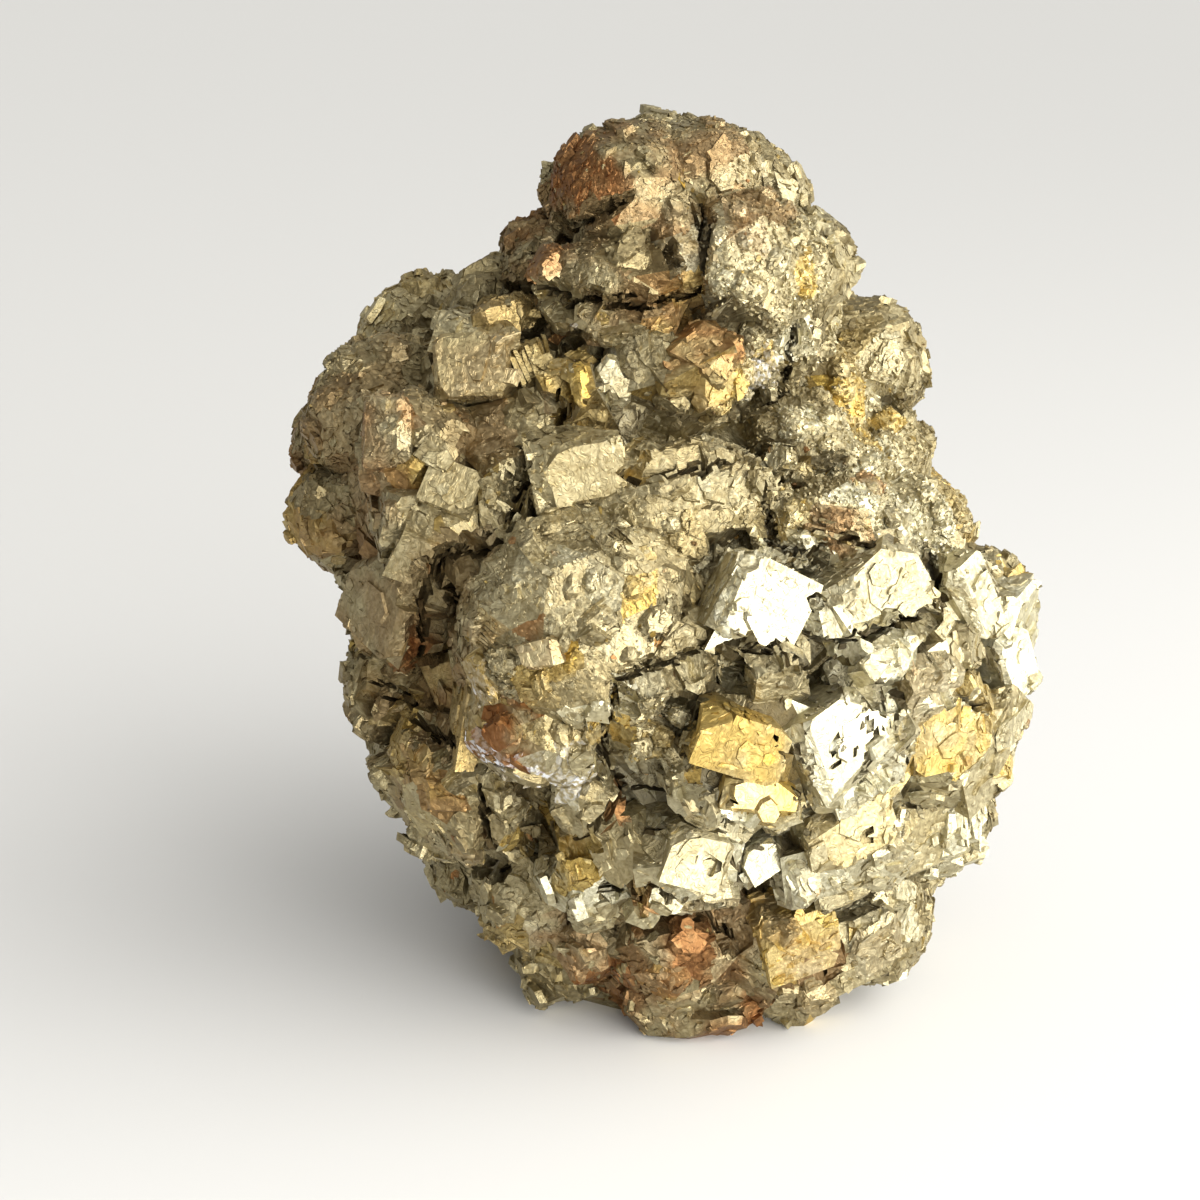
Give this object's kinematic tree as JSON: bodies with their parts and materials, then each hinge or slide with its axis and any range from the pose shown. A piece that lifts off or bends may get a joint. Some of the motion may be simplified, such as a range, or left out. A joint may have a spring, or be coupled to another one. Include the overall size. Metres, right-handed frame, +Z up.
{
  "type": "marcasite specimen",
  "caption": "Palm-sized nodule of brassy marcasite: rounded lobes crusted with blocky intergrown crystals, standing on a flattened underside.",
  "frame": {"origin": "middle of the nodule's box, on the flat underside it stands on", "axes": "+Z up through the crown, front faces -Y, +X to the right seen from the front"},
  "size_m": [0.0516, 0.045, 0.06],
  "materials": {
    "marcasite": "metallic bronze-grey crystal faces with brassy gold, rust and copper-red tarnish"
  },
  "bodies": {
    "root": {"nodule": "marcasite"}
  },
  "joints": []
}
